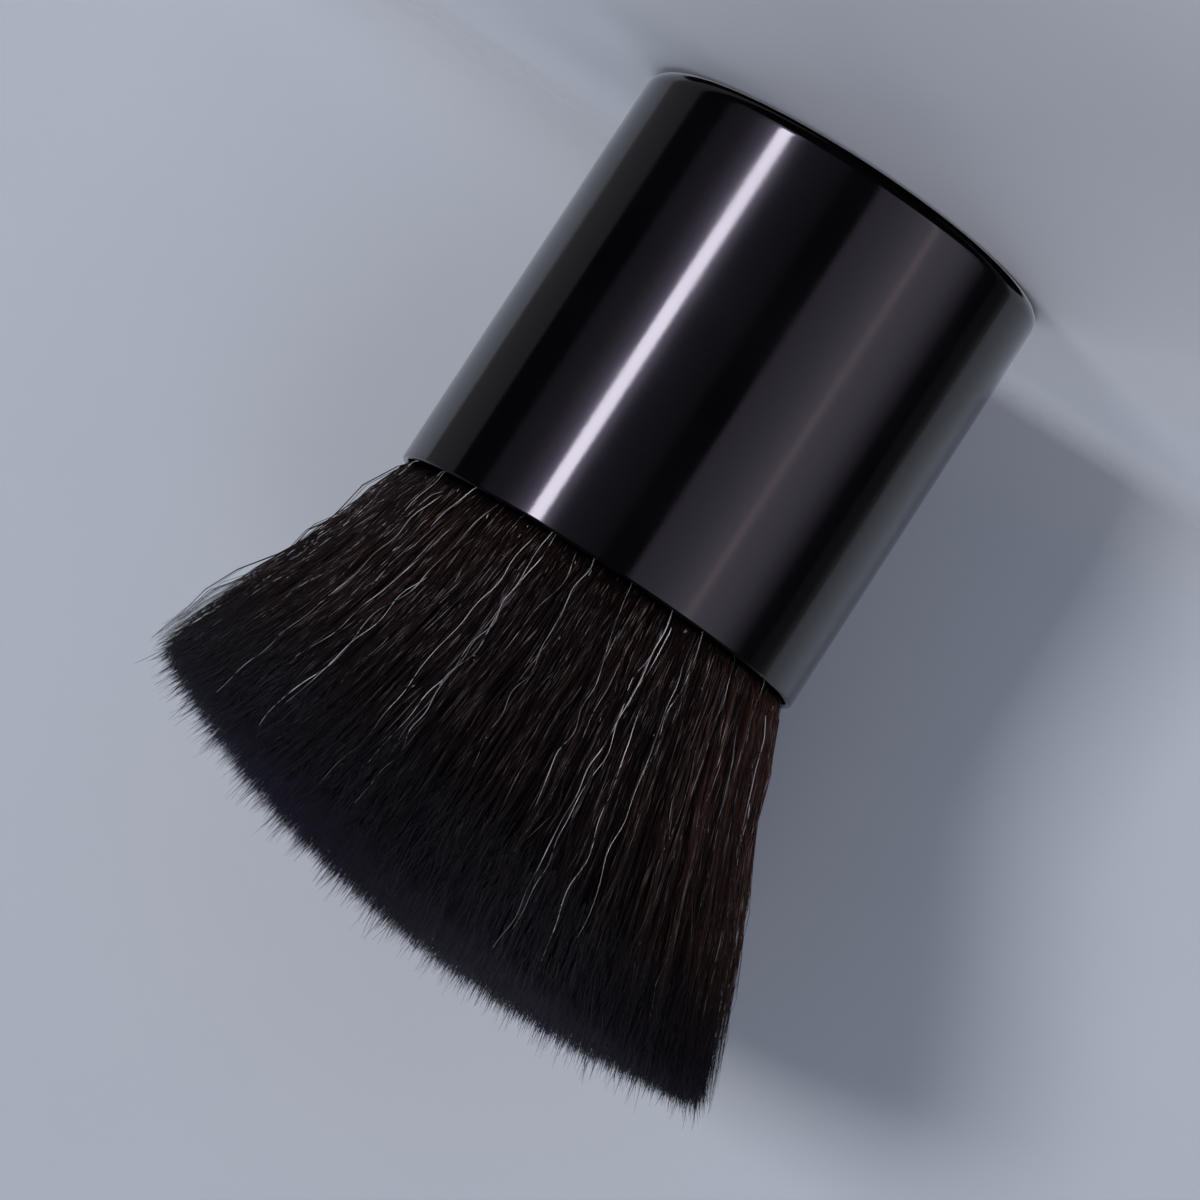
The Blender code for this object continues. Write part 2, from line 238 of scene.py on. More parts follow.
# Knot ferrule.
# A ring of thin drawn aluminium left bare, with a lip rolled in below and a groove pressed round it to
# grip the resin. Drawing through a die leaves fine upright lines, some duller than others.
DIE_LINE_WIDTH = 1 / 9000
DIE_LINE_LENGTH = 1 / 120
drawn, tree, shader = new_finish("Bare drawn aluminium", {"Metallic": 1.0})
spot = add(tree, "ShaderNodeTexCoord").outputs["Object"]
die_lines = (1 / DIE_LINE_WIDTH, 1 / DIE_LINE_WIDTH, 1 / DIE_LINE_LENGTH)
along = add(tree, "ShaderNodeMapping", {"Scale": die_lines}, {"Vector": spot})
lines = add(tree, "ShaderNodeTexNoise", {"Scale": 1.0, "Detail": 3.0}, {"Vector": along.outputs["Vector"]})
tint_between(tree, shader, lines.outputs["Fac"], ("#b9babc", "#d3d4d6"))
dull_between(tree, shader, lines.outputs["Fac"], {"To Min": 0.25, "To Max": 0.45})
refinish("knot_ferrule", drawn)


# Root potting.
# Resin poured into the ferrule over the tied roots, which locks them into one plug. It sets dark from the
# dye in the hair, and smooth.
DYE_STAIN_SIZE = 1 / 700
resin, *_ = mottled_finish(
    "Dyed potting resin", {"IOR": 1.54}, {"Scale": 1 / DYE_STAIN_SIZE, "Detail": 5.0},
    ("#1d1611", "#3a2c1f"), {"To Min": 0.2, "To Max": 0.38},
)
refinish("root_potting", resin)


# Bristle knot.
# Some tens of thousands of soft, dyed, tapered hairs, gathered by hand in a cupped mould so that the crown
# comes out domed, then bound, potted and opened out. The knot is cut at a slant, short on one side. The
# roots are a warm brown black, the fine tips a cool one that scatters light like velvet.
ROOT_Z = 0.0333
ROOT_RADIUS = 0.01405
MEAN_RISE = 0.0273
SLANT_DROP = 0.0042
CROWN_RISE = 0.0047
SLANT_TURN = math.radians(32)
CROWN_SPREAD_SHARE = 0.8837
BOW_SHARE = 0.12
RIM_ABOVE_ROOTS = 0.0022
RIM_SWELL = 0.00155
SWELL_HEIGHTS = [0, RIM_ABOVE_ROOTS, 0.0045, 0.008, 0.013]
SWELL_SHARES = [0, 1, 0.75, 0.3, 0]
LONG_SIDE_LEAN = 0.0003
LEAN_OVER = 0.009
HAIR_RADIUS = 0.000036
CAP_WELD = 0.00000002
STRIP_FILL_SHARE = 0.8


def widening(height):
    """How many times wider the knot is at a height above its roots."""
    rise = height / MEAN_RISE
    return 1 + CROWN_SPREAD_SHARE * rise * (1 + BOW_SHARE * (1 - rise))


def hair_rise(share, turn):
    """The height of the crown over a root, given by its share of the radius and its turn round the knot."""
    slant = SLANT_DROP * share * np.cos(turn - SLANT_TURN)
    return MEAN_RISE - slant + CROWN_RISE * (1 - share**2)


def leaning(heights):
    """How far the knot leans at some heights, away from its shortest side."""
    return LONG_SIDE_LEAN * np.clip((heights - RIM_ABOVE_ROOTS) / LEAN_OVER, 0, 1)


def laid_along(share, turn, heights, aside=0.0, outward=0.0):
    """Points of hairs that root at a share of the radius and a turn, each pushed aside and outward."""
    round_x, round_y = np.cos(turn)[:, None], np.sin(turn)[:, None]
    swell = np.interp(heights, SWELL_HEIGHTS, RIM_SWELL * np.array(SWELL_SHARES))
    reach = ROOT_RADIUS * share[:, None] * widening(heights) + swell * share[:, None] ** 4 + outward
    lean = leaning(heights)
    x = round_x * reach - round_y * aside - lean * math.cos(SLANT_TURN)
    y = round_y * reach + round_x * aside - lean * math.sin(SLANT_TURN)
    return np.stack([x, y, ROOT_Z + heights], axis=2)


def hairs_to_mesh(name, places, thickness, locks_of=None, four_sided=False):
    """Closed tapered hairs as one mesh. Its map runs from root to tip, with a strip of its own for each hair,
    and the strips of one lock lie side by side."""
    curve = bpy.data.curves.new(name, "CURVE")
    curve.dimensions = "3D"
    curve.use_fill_caps = True
    guide = None
    if four_sided:
        curve.bevel_depth = HAIR_RADIUS
        curve.bevel_resolution = 0
    else:
        section = bpy.data.curves.new("section", "CURVE")
        corners = section.splines.new("POLY")
        corners.points.add(2)
        for point, turn in zip(corners.points, (0, -math.tau / 3, math.tau / 3)):
            point.co = (HAIR_RADIUS * math.cos(turn), HAIR_RADIUS * math.sin(turn), 0, 1)
        corners.use_cyclic_u = True
        guide = bpy.data.objects.new("section", section)
        bpy.context.scene.collection.objects.link(guide)
        curve.bevel_mode = "OBJECT"
        curve.bevel_object = guide
    count = places.shape[1]
    for hair, radii in zip(places, thickness):
        spline = curve.splines.new("POLY")
        spline.points.add(count - 1)
        spline.points.foreach_set("co", np.column_stack([hair, np.ones(count)]).astype(np.float32).ravel())
        spline.points.foreach_set("radius", radii.astype(np.float32))
    holder = bpy.data.objects.new(name, curve)
    bpy.context.scene.collection.objects.link(holder)
    shaped = holder.evaluated_get(bpy.context.evaluated_depsgraph_get())
    mesh = bpy.data.meshes.new_from_object(shaped)
    bpy.data.objects.remove(holder)
    if guide:
        bpy.data.objects.remove(guide)
    corners = np.empty(len(mesh.loops) * 2, np.float32)
    mesh.uv_layers[0].uv.foreach_get("vector", corners)
    corners = corners.reshape(-1, 2)
    hair_of = np.arange(len(mesh.loops)) // (len(mesh.loops) // len(places))
    if locks_of is None:
        locks_of = np.random.default_rng(len(places)).permutation(len(places))
    strip = (np.argsort(np.argsort(locks_of, kind="stable")) / len(places))[hair_of]
    corners[:, 1] = strip + STRIP_FILL_SHARE / len(places) * np.clip(corners[:, 1], 0, 1)
    mesh.uv_layers.remove(mesh.uv_layers[0])
    mesh.uv_layers.new(name="OFBake", do_init=False).uv.foreach_set("vector", corners.ravel())
    work = bmesh.new()
    work.from_mesh(mesh)
    bmesh.ops.remove_doubles(work, verts=work.verts, dist=CAP_WELD)
    work.to_mesh(mesh)
    work.free()
    mesh.shade_smooth()
    return mesh


# The hair comes out of the rim's painted shade between two heights: below them its colour is painted dark.
# The map counts hairs one way and runs along each the other, so its shades and painted highlight flecks are
# counts, not sizes.
RIM_SHADE = (HANDLE_LENGTH + 0.0001, HANDLE_LENGTH + 0.0011)
LOCK_SHADES = 350.0
# The counts and colour of the painted highlight flecks, which stand for light caught on the hair.
PAINTED_GLINTS_ALONG = 10.0
PAINTED_GLINTS_ACROSS = 2100.0
PAINTED_GLINT_COLOUR = "#928688"
# The tint of the painted side light, lighter and browner, on the long side.
PAINTED_SIDE_LIGHT_BROWN = "#402d27"


def set_stops(ramp, marks):
    """Gives a colour ramp its stops, each with a place and a linear colour."""
    stops = ramp.color_ramp.elements
    while len(stops) < len(marks):
        stops.new(0.5)
    for stop, (place, colour) in zip(stops, marks):
        stop.position = place
        stop.color = colour


def hair_finish(name, along, patch, painted_side_light, shades, painted_glints, roughness, sockets):
    """Dyed hair. Its colour runs along each hair and turns another in patches. On the long side it is painted
    lighter and browner by a share: painted side light. Each lock and hair has a shade of its own, and
    painted highlights lie on it in flecks that die out towards the tip. Deep in the handle it is painted
    dark: painted shade."""
    made, tree, shader = new_finish(name, {"IOR": 1.55, **sockets})
    strand = add(tree, "ShaderNodeUVMap", {"uv_map": "OFBake"})
    parts = add(tree, "ShaderNodeSeparateXYZ", {}, {"Vector": strand.outputs["UV"]})
    run = add(tree, "ShaderNodeValToRGB", {}, {"Fac": parts.outputs["X"]})
    set_stops(run, [(place, linear(code)) for place, code in along])
    spot = add(tree, "ShaderNodeTexCoord").outputs["Object"]

    # Patches of another tint, and how far along the hair they last.
    colour, across, most, ending = patch
    patches = add(tree, "ShaderNodeTexNoise", {"Scale": 1 / across, "Detail": 3.0}, {"Vector": spot})
    patched = add(
        tree, "ShaderNodeMapRange", {"From Min": 0.3, "From Max": 0.7, "To Max": most},
        {"Value": patches.outputs["Fac"]},
    )
    lasting = add(
        tree, "ShaderNodeMapRange",
        {"From Min": ending[0], "From Max": ending[1], "To Min": 1.0, "To Max": 0.0},
        {"Value": parts.outputs["X"]},
    ).outputs["Result"]
    patched = add(
        tree, "ShaderNodeMath", {"operation": "MULTIPLY"}, {0: patched.outputs["Result"], 1: lasting}
    )
    tinted = add(
        tree, "ShaderNodeMix", {"data_type": "RGBA"},
        {"Factor": patched.outputs["Value"], "A": run.outputs["Color"]},
    )
    tinted.inputs["B"].default_value = linear(colour)

    # Painted side light on the long side, found from the way each place faces from the brush's middle line.
    flat = add(tree, "ShaderNodeMapping", {"Scale": (1.0, 1.0, 0.0)}, {"Vector": spot})
    way = add(tree, "ShaderNodeVectorMath", {"operation": "NORMALIZE"}, {0: flat.outputs["Vector"]})
    way = add(tree, "ShaderNodeSeparateXYZ", {}, {"Vector": way.outputs["Vector"]})
    soft_step = {"interpolation_type": "SMOOTHSTEP", "From Min": -1.0, "From Max": -0.45}
    side_light_share = add(
        tree, "ShaderNodeMapRange", {**soft_step, "To Min": painted_side_light, "To Max": 0.0}, {"Value": way.outputs["X"]}
    )
    side_light_share = add(tree, "ShaderNodeMath", {"operation": "MULTIPLY"}, {0: side_light_share.outputs["Result"], 1: lasting})
    with_side_light = add(
        tree, "ShaderNodeMix", {"data_type": "RGBA"},
        {"Factor": side_light_share.outputs["Value"], "A": tinted.outputs["Result"]},
    )
    with_side_light.inputs["B"].default_value = linear(PAINTED_SIDE_LIGHT_BROWN)

    # A shade for each lock and hair, from its strip of the map.
    strip = add(tree, "ShaderNodeCombineXYZ", {}, {"X": parts.outputs["Y"]})
    own = add(
        tree, "ShaderNodeTexNoise", {"Scale": LOCK_SHADES, "Detail": 4.0, "Roughness": 0.85},
        {"Vector": strip.outputs["Vector"]},
    )
    level = add(
        tree, "ShaderNodeMapRange",
        {"From Min": 0.35, "From Max": 0.65, "To Min": shades[0], "To Max": shades[1]},
        {"Value": own.outputs["Fac"]},
    )
    shaded = add(
        tree, "ShaderNodeVectorMath", {"operation": "SCALE"},
        {"Vector": with_side_light.outputs["Result"], "Scale": level.outputs["Result"]},
    )

    # Painted highlights: flecks of light painted into the colour, drawn out along the hair.
    laid = add(
        tree, "ShaderNodeMapping", {"Scale": (PAINTED_GLINTS_ALONG, PAINTED_GLINTS_ACROSS, 1.0)},
        {"Vector": strand.outputs["UV"]},
    ).outputs["Vector"]
    dashes = add(tree, "ShaderNodeTexNoise", {"Scale": 1.0, "Detail": 1.0}, {"Vector": laid})
    painted_glint_mask = add(
        tree, "ShaderNodeMapRange", {"From Min": 0.6, "From Max": 0.74}, {"Value": dashes.outputs["Fac"]}
    )
    dying = add(
        tree, "ShaderNodeMapRange", {"From Min": 0.5, "From Max": 0.98, "To Min": painted_glints, "To Max": 0.0},
        {"Value": parts.outputs["X"]},
    )
    painted_glint_share = add(
        tree, "ShaderNodeMath", {"operation": "MULTIPLY"},
        {0: painted_glint_mask.outputs["Result"], 1: dying.outputs["Result"]},
    )
    lit = add(
        tree, "ShaderNodeMix", {"data_type": "RGBA"},
        {"Factor": painted_glint_share.outputs["Value"], "A": shaded.outputs["Vector"]},
    )
    lit.inputs["B"].default_value = linear(PAINTED_GLINT_COLOUR)

    # Painted shade: the colour is darkened below the rim.
    placed = add(tree, "ShaderNodeSeparateXYZ", {}, {"Vector": spot})
    out_of_handle = add(
        tree, "ShaderNodeMapRange",
        {"From Min": RIM_SHADE[0], "From Max": RIM_SHADE[1], "To Min": 0.04},
        {"Value": placed.outputs["Z"]},
    )
    shown = add(
        tree, "ShaderNodeVectorMath", {"operation": "SCALE"},
        {"Vector": lit.outputs["Result"], "Scale": out_of_handle.outputs["Result"]},
    )
    tree.links.new(shown.outputs["Vector"], shader.inputs["Base Color"])
    dull_between(tree, shader, parts.outputs["X"], {"To Min": roughness[0], "To Max": roughness[1]})
    return made


# Dyed goat-type hair: oily-smooth near the root, where each hair shows as a fine streak, and dull at the
# flagged tip.
FLAGGED_TIP = {"Specular IOR Level": 0.2, "Sheen Weight": 0.05, "Sheen Roughness": 0.5}
side_hair = hair_finish(
    "Dyed soft hair",
    along=[(0.0, "#0a0707"), (0.35, "#0d0909"), (0.75, "#0b0909"), (0.9, "#09090c"), (1.0, "#0a0a10")],
    patch=("#291611", 0.006, 0.6, (0.45, 0.95)),
    painted_side_light=0.9,
    shades=(0.1, 2.4),
    painted_glints=0.9,
    roughness=(0.3, 0.9),
    sockets={"Specular IOR Level": 0.18},
)
crown_hair = hair_finish(
    "Dyed soft hair tips",
    along=[(0.0, "#070608"), (0.45, "#09090c"), (0.8, "#0c0c12"), (1.0, "#13131d")],
    patch=("#27273d", 0.0011, 0.6, (1.0, 2.0)),
    painted_side_light=0.0,
    shades=(0.5, 1.5),
    painted_glints=0.0,
    roughness=(0.8, 0.95),
    sockets=FLAGGED_TIP,
)
fringe_hair = hair_finish(
    "Flagged hair tips",
    along=[(0.0, "#080708"), (0.5, "#09090c"), (0.8, "#0c0c12"), (1.0, "#13131d")],
    patch=("#27273b", 0.0011, 0.5, (1.0, 2.0)),
    painted_side_light=0.0,
    shades=(0.5, 1.5),
    painted_glints=0.0,
    roughness=(0.8, 0.95),
    sockets=FLAGGED_TIP,
)
PACKED_GRAIN_SIZE = 0.00025
packed, *_ = mottled_finish(
    "Packed dyed hair", {"IOR": 1.5, "Roughness": 0.9, "Specular IOR Level": 0.2},
    {"Scale": 1 / PACKED_GRAIN_SIZE, "Detail": 2.0}, ("#040304", "#090708"),
)

# The middle of the knot, where hair lies too tight to see into.
CORE_SHARE = 0.915
CORE_BELOW_CROWN = 0.0026
CORE_ABOVE_ROOTS = 0.0003
work = bmesh.new()
ring = bmesh.ops.create_circle(work, cap_ends=True, segments=96, radius=ROOT_RADIUS * CORE_SHARE)["verts"]
bmesh.ops.translate(work, verts=ring, vec=(0, 0, ROOT_Z + CORE_ABOVE_ROOTS))
edge = work.edges[:]
levels = [(CORE_SHARE, share) for share in np.linspace(0.08, 0.97, 12)]
levels += [(CORE_SHARE * share, 1.0) for share in (0.985, 0.93, 0.82, 0.66, 0.46, 0.24, 0.08)]
for share, height_share in levels:
    made = bmesh.ops.extrude_edge_only(work, edges=edge)["geom"]
    edge = [item for item in made if isinstance(item, bmesh.types.BMEdge)]
    for point in [item for item in made if isinstance(item, bmesh.types.BMVert)]:
        lean = float(leaning(point.co.z - ROOT_Z))
        leaned = point.co.xy + lean * Vector((math.cos(SLANT_TURN), math.sin(SLANT_TURN)))
        turn = np.array([math.atan2(leaned.y, leaned.x)])
        height = (hair_rise(share, turn) - CORE_BELOW_CROWN) * height_share
        point.co = laid_along(np.array([share]), turn, height[:, None])[0, 0]
bmesh.ops.contextual_create(work, geom=edge)
bmesh.ops.recalc_face_normals(work, faces=work.faces)
mesh = finished(work, "hair_packed")
mesh.shade_smooth()
as_piece("hair_packed", mesh, packed, "soft_hair", "bristle_knot")


# Hair gathers into small pointed locks. These are their middles, scattered evenly over the crown.
CROWN_RADIUS = ROOT_RADIUS * (1 + CROWN_SPREAD_SHARE)
LOCK_WIDTH = 0.0011
LOCK_JOG_SHARE = 0.25
LOCK_REACH_SHARE = 0.65
LOCKS = int(math.pi * (CROWN_RADIUS / LOCK_WIDTH) ** 2)
GOLDEN_ANGLE = 2.399963
chance = np.random.default_rng(7)
locks = kdtree.KDTree(LOCKS)
for lock in range(LOCKS):
    reach, turn = CROWN_RADIUS * math.sqrt((lock + 0.5) / LOCKS), lock * GOLDEN_ANGLE
    jog = chance.normal(0, LOCK_JOG_SHARE * LOCK_WIDTH, 2)
    locks.insert((reach * math.cos(turn) + jog[0], reach * math.sin(turn) + jog[1], 0), lock)
locks.balance()


def tufted(share, turn):
    """How far round and outward each hair's lock has its middle, at the crown, how near the hair is to it,
    and the number of the lock."""
    x, y = CROWN_RADIUS * share * np.cos(turn), CROWN_RADIUS * share * np.sin(turn)
    nearest = [locks.find((a, b, 0)) for a, b in zip(x, y)]
    middles = np.array([middle[:2] for middle, *_ in nearest])
    numbers = np.array([number for _, number, _ in nearest])
    off_x, off_y = middles[:, 0] - x, middles[:, 1] - y
    round_off = off_y * np.cos(turn) - off_x * np.sin(turn)
    out_off = off_x * np.cos(turn) + off_y * np.sin(turn)
    nearness = np.clip(1 - np.hypot(off_x, off_y) / (LOCK_REACH_SHARE * LOCK_WIDTH), 0, 1)
    return round_off, out_off, nearness, numbers


def wavering(chance, count, shares, size, shortest, longest):
    """Slow side to side wavering of hairs, in metres, still at the root."""
    aside = np.zeros((count, len(shares)))
    for share_of_size in (1.0, 0.5):
        waves = MEAN_RISE / chance.uniform(shortest, longest, count)
        start = chance.uniform(0, math.tau, count)
        swing = np.abs(chance.normal(0, size * share_of_size, count))
        phase = start[:, None] + math.tau * waves[:, None] * shares[None, :]
        aside += swing[:, None] * (np.sin(phase) - np.sin(start)[:, None])
    return aside * np.minimum(1, shares[None, :] * 4)


# The outer hairs, root to tip, in batches round and through the knot's side. They draw together into locks
# towards the tip, those between two locks lie deeper, and some stand off as wisps.
SIDE_BATCHES = 5
SIDE_HAIRS = 4300
SIDE_DEPTH_SHARE = 0.10
SIDE_UNEVENNESS = 0.0002
SIDE_SHORTEST_BY = 0.0026
SIDE_SPLAY = 0.0006
SIDE_GAP_DEPTH = 0.0006
SIDE_TIPS_IN = 0.0005
SIDE_WAVER_ROUND = (0.00013, 0.008, 0.018)
SIDE_WAVER_OUT = (0.0001, 0.009, 0.02)
WISP_SHARE = 0.08
WISP_REACH = (0.0004, 0.002)
for batch in range(SIDE_BATCHES):
    chance = np.random.default_rng(100 + batch)
    turn = chance.uniform(0, math.tau, SIDE_HAIRS)
    share = 1 - SIDE_DEPTH_SHARE * chance.uniform(0, 1, SIDE_HAIRS) ** 1.2
    round_off, out_off, nearness, numbers = tufted(share, turn)
    run = np.array([0.02, 0.08, 0.2, 0.36, 0.56, 0.79, 1.0])
    length = hair_rise(share, turn) + SIDE_UNEVENNESS * nearness
    length += chance.normal(0, SIDE_UNEVENNESS, SIDE_HAIRS)
    length -= SIDE_SHORTEST_BY * chance.uniform(0, 1, SIDE_HAIRS) ** 2
    heights = length[:, None] * run[None, :]
    hold = chance.uniform(0.15, 0.65, SIDE_HAIRS)
    aside = chance.normal(0, SIDE_SPLAY, SIDE_HAIRS)[:, None] * run**1.3
    aside += (hold * round_off)[:, None] * run**1.6
    aside += wavering(chance, SIDE_HAIRS, run, *SIDE_WAVER_ROUND)
    outward = (0.5 * hold * out_off)[:, None] * run**1.6 - SIDE_GAP_DEPTH * (1 - nearness)[:, None] * run**1.1
    outward += wavering(chance, SIDE_HAIRS, run, *SIDE_WAVER_OUT) - SIDE_TIPS_IN * run**2
    wisp = chance.uniform(0, 1, SIDE_HAIRS) < WISP_SHARE
    outward += (wisp * chance.uniform(*WISP_REACH, SIDE_HAIRS))[:, None] * run**2.2
    thickness = chance.uniform(0.7, 1.25, SIDE_HAIRS)[:, None] * np.interp(
        run, [0, 0.55, 0.85, 1], [1, 0.95, 0.6, 0.12]
    )
    name = f"hair_side_{batch + 1}"
    mesh = hairs_to_mesh(name, laid_along(share, turn, heights, aside, outward), thickness, numbers)
    as_piece(name, mesh, side_hair, "soft_hair", "bristle_knot")


# How the free ends stand: higher in the middle of a lock, a share of them taller still, and in at the edge.
LOCK_PEAK = 0.0004
PILE_UNEVENNESS = 0.00025
TALL_SHARE = 0.26
TALL_MEAN = 0.00045
TALLEST = 0.0019
PILE_JOG = 0.00015
PILE_TANGLE = 0.0004
PILE_EDGE_IN = 0.0004


def stand_ends(name, chance, share, turn, shown, sunk, points, finish):
    """The free ends of hairs as a piece: close as pile, a little tangled and drawn into small locks."""
    count = len(turn)
    round_off, out_off, nearness, numbers = tufted(share, turn)
    run = np.linspace(0, 1, points)
    top = hair_rise(share, turn) + LOCK_PEAK * (nearness - 0.6) + chance.normal(0, PILE_UNEVENNESS, count)
    taller = np.minimum(chance.exponential(TALL_MEAN, count), TALLEST)
    top += taller * (chance.uniform(0, 1, count) < TALL_SHARE)
    top -= sunk * chance.uniform(0, 1, count) ** 2
    shown = chance.uniform(*shown, count)
    heights = (top - shown)[:, None] + shown[:, None] * run[None, :]
    hold = chance.uniform(0.0, 0.65, count)
    start = chance.normal(0, PILE_JOG, (2, count))
    tip = chance.normal(0, PILE_TANGLE, (2, count))
    aside = start[0][:, None] + (tip[0] + hold * round_off)[:, None] * run**1.3
    outward = (tip[1] + hold * out_off)[:, None] * run**1.3 + start[1][:, None]
    outward -= PILE_EDGE_IN * share[:, None] ** 6
    thickness = chance.uniform(0.75, 1.2, count)[:, None] * np.interp(run, [0, 0.5, 1], [1, 0.8, 0.15])
    mesh = hairs_to_mesh(name, laid_along(share, turn, heights, aside, outward), thickness, numbers)
    as_piece(name, mesh, finish, "soft_hair", "bristle_knot")


# The ends of the hairs that make up the crown, which stand close like the pile of velvet.
CROWN_BATCHES = 4
CROWN_HAIRS = 7600
CROWN_ENDS_SHOWN = (0.0034, 0.0052)
for batch in range(CROWN_BATCHES):
    chance = np.random.default_rng(200 + batch)
    order = np.arange(CROWN_HAIRS) * CROWN_BATCHES + batch
    share = np.sqrt((order + 0.5) / (CROWN_HAIRS * CROWN_BATCHES)) * 0.985
    turn = order * GOLDEN_ANGLE + chance.normal(0, 0.02, CROWN_HAIRS) / np.maximum(share, 0.05)
    share = np.clip(share + chance.normal(0, 0.006, CROWN_HAIRS), 0.002, 0.995)
    name = f"hair_crown_{batch + 1}"
    stand_ends(name, chance, share, turn % math.tau, CROWN_ENDS_SHOWN, 0.0, 4, crown_hair)

# Finer, shorter ends between those round the crown's edge, which make its fringe thick and matt.
FRINGE_BATCHES = 3
FRINGE_HAIRS = 8000
FRINGE_DEPTH_SHARE = 0.07
FRINGE_ENDS_SHOWN = (0.0016, 0.0036)
FRINGE_SUNK_BY = 0.0055
for batch in range(FRINGE_BATCHES):
    chance = np.random.default_rng(400 + batch)
    turn = chance.uniform(0, math.tau, FRINGE_HAIRS)
    share = 1.003 - FRINGE_DEPTH_SHARE * chance.uniform(0, 1, FRINGE_HAIRS) ** 1.7
    name = f"hair_fringe_{batch + 1}"
    stand_ends(name, chance, share, turn, FRINGE_ENDS_SHOWN, FRINGE_SUNK_BY, 3, fringe_hair)

# Thin loose locks of a few hairs that stand off the side of the knot and stray past its edge.
STRAY_LOCKS = 380
STRAY_HAIRS = 4
STRAY_SPLAY = 0.0013
STRAY_WAVER_ROUND = (0.00025, 0.006, 0.018)
STRAY_WAVER_OUT = (0.00022, 0.006, 0.018)
STRAY_NEAREST = 0.0002
STRAY_REACH = 0.0017
STRAY_APART = 0.00004
STRAY_FRAY = 0.0001
chance = np.random.default_rng(301)
run = np.linspace(0.01, 1, 10)
turn = chance.uniform(0, math.tau, STRAY_LOCKS)
aside = chance.normal(0, STRAY_SPLAY, STRAY_LOCKS)[:, None] * run**1.2
aside += wavering(chance, STRAY_LOCKS, run, *STRAY_WAVER_ROUND)
stand_off = STRAY_NEAREST + STRAY_REACH * chance.uniform(0, 1, STRAY_LOCKS) ** 1.6
outward = stand_off[:, None] * run**0.9 * (1 - 0.35 * run**3)
outward += wavering(chance, STRAY_LOCKS, run, *STRAY_WAVER_OUT)
length = hair_rise(np.ones(STRAY_LOCKS), turn) * chance.uniform(0.93, 1.03, STRAY_LOCKS)
turn, length = np.repeat(turn, STRAY_HAIRS), np.repeat(length, STRAY_HAIRS)
aside, outward = np.repeat(aside, STRAY_HAIRS, axis=0), np.repeat(outward, STRAY_HAIRS, axis=0)
share = chance.uniform(0.985, 1.0, len(turn))
apart = chance.normal(0, STRAY_APART, len(turn))[:, None]
aside += apart + chance.normal(0, STRAY_FRAY, len(turn))[:, None] * run**2
outward += chance.normal(0, STRAY_FRAY, len(turn))[:, None] * run**2
heights = (length * chance.uniform(0.93, 1.01, len(turn)))[:, None] * run
thickness = chance.uniform(0.7, 1.1, len(turn))[:, None] * np.interp(run, [0, 0.6, 1], [1, 0.8, 0.2])
mesh = hairs_to_mesh("hair_stray", laid_along(share, turn, heights, aside, outward), thickness)
as_piece("hair_stray", mesh, side_hair, "soft_hair", "bristle_knot")


# Crimped filaments.
# Fine silvery synthetic fibres, crimped so that they hold the soft hair apart and give the knot spring. They
# are mixed in before binding, so they come out at the rim and weave in and out of the outer hair.
FILAMENTS = 104
FILAMENT_POINTS = 56
FILAMENT_WIDTH_SHARE = 1.15
FILAMENT_SPLAY = 0.0012
FILAMENT_PROUD = (-0.00005, 0.0004)
FILAMENT_TIPS_IN = 0.0009
FILAMENT_SUNK_BY = 0.0009
FILAMENT_LIFT = 0.0001
CRIMP = (0.0037, 0.0062, 0.0001, 0.00026)
SLOW_WAVE = (0.009, 0.017, 0.00015, 0.00045)
chance = np.random.default_rng(41)
turn = (np.arange(FILAMENTS) + chance.uniform(-1.5, 1.5, FILAMENTS)) * math.tau / FILAMENTS
share = chance.uniform(0.995, 1.0, FILAMENTS)
run = np.linspace(0.02, 1, FILAMENT_POINTS)
length = hair_rise(share, turn) * (0.38 + 0.6 * chance.uniform(0, 1, FILAMENTS) ** 0.8)
heights = length[:, None] * run[None, :]
aside = chance.normal(0, FILAMENT_SPLAY, FILAMENTS)[:, None] * run
outward = chance.uniform(*FILAMENT_PROUD, FILAMENTS)[:, None] * np.ones(FILAMENT_POINTS)
for shortest, longest, least, most in (CRIMP, SLOW_WAVE):
    wave = chance.uniform(shortest, longest, FILAMENTS)
    start = chance.uniform(0, math.tau, FILAMENTS)
    swing = chance.uniform(least, most, FILAMENTS)
    phase = start[:, None] + math.tau * heights / wave[:, None]
    easing = 0.55 + 0.45 * np.sin(0.37 * phase + 2 * start[:, None])
    aside += swing[:, None] * easing * (np.sin(phase) - np.sin(start)[:, None])
    outward += 0.4 * swing[:, None] * easing * np.cos(phase)
outward -= FILAMENT_TIPS_IN * run**4 * chance.uniform(0.3, 1, FILAMENTS)[:, None]
surfacing = chance.uniform(-0.1, 0.3, FILAMENTS)[:, None]
outward += FILAMENT_LIFT - FILAMENT_SUNK_BY * np.clip(1 - (run - surfacing) / 0.15, 0, 1) * (surfacing > 0)
outward *= np.minimum(1, run * 9)
thickness = np.interp(run, [0, 0.7, 1], [1, 0.9, 0.3]) * FILAMENT_WIDTH_SHARE
thickness = chance.uniform(0.4, 1.1, FILAMENTS)[:, None] * thickness
places = laid_along(share, turn, heights, aside, outward)
mesh = hairs_to_mesh("silver_filaments", places, thickness, four_sided=True)

